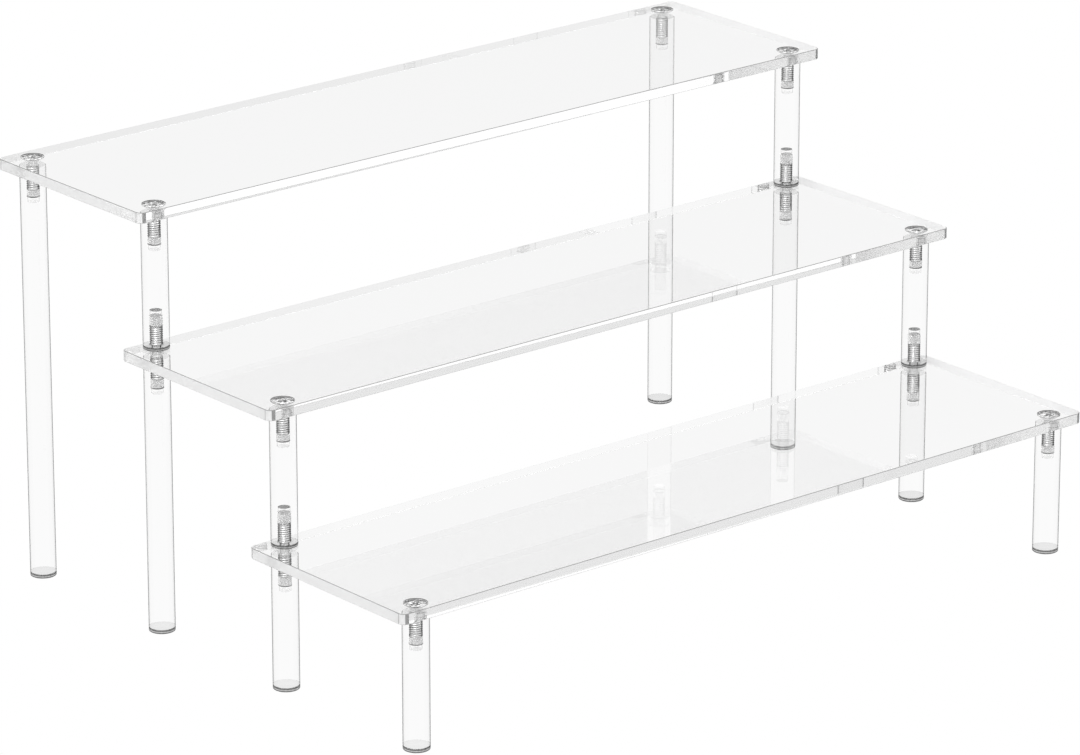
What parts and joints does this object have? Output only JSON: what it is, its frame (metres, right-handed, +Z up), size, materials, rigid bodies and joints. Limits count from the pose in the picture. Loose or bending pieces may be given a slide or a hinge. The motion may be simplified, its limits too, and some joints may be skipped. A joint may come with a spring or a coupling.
{
  "type": "tiered shelf riser",
  "caption": "Stepped display riser for jars and small goods: clear shelves, each lower and further forward, screwed at their corners to clear round legs and posts.",
  "frame": {"origin": "on the floor plane under the middle of the riser's overall length and depth", "axes": "+X along the shelves, towards the right-hand end; +Y towards the back, where the highest shelf is; +Z up"},
  "size_m": [0.4, 0.2884, 0.2],
  "materials": {
    "clear_shelf": "polished",
    "clear_rod": "polished",
    "screw_metal": "polished",
    "washer": "satin",
    "foot_pad": "satin"
  },
  "bodies": {
    "root": {"shelf_top": "clear_shelf", "shelf_middle": "clear_shelf", "shelf_bottom": "clear_shelf", "leg_rear_left": "clear_rod", "foot_pad_rear_left": "foot_pad", "leg_inner_rear_left": "clear_rod", "foot_pad_inner_rear_left": "foot_pad", "leg_inner_front_left": "clear_rod", "foot_pad_inner_front_left": "foot_pad", "leg_front_left": "clear_rod", "foot_pad_front_left": "foot_pad", "washer_middle_left": "washer", "post_middle_left": "clear_rod", "stud_middle_left": "screw_metal", "washer_bottom_left": "washer", "post_bottom_left": "clear_rod", "stud_bottom_left": "screw_metal", "screw_top_rear_left": "screw_metal", "screw_top_front_left": "screw_metal", "screw_middle_front_left": "screw_metal", "screw_bottom_front_left": "screw_metal", "leg_rear_right": "clear_rod", "foot_pad_rear_right": "foot_pad", "leg_inner_rear_right": "clear_rod", "foot_pad_inner_rear_right": "foot_pad", "leg_inner_front_right": "clear_rod", "foot_pad_inner_front_right": "foot_pad", "leg_front_right": "clear_rod", "foot_pad_front_right": "foot_pad", "washer_middle_right": "washer", "post_middle_right": "clear_rod", "stud_middle_right": "screw_metal", "washer_bottom_right": "washer", "post_bottom_right": "clear_rod", "stud_bottom_right": "screw_metal", "screw_top_rear_right": "screw_metal", "screw_top_front_right": "screw_metal", "screw_middle_front_right": "screw_metal", "screw_bottom_front_right": "screw_metal"}
  },
  "joints": []
}
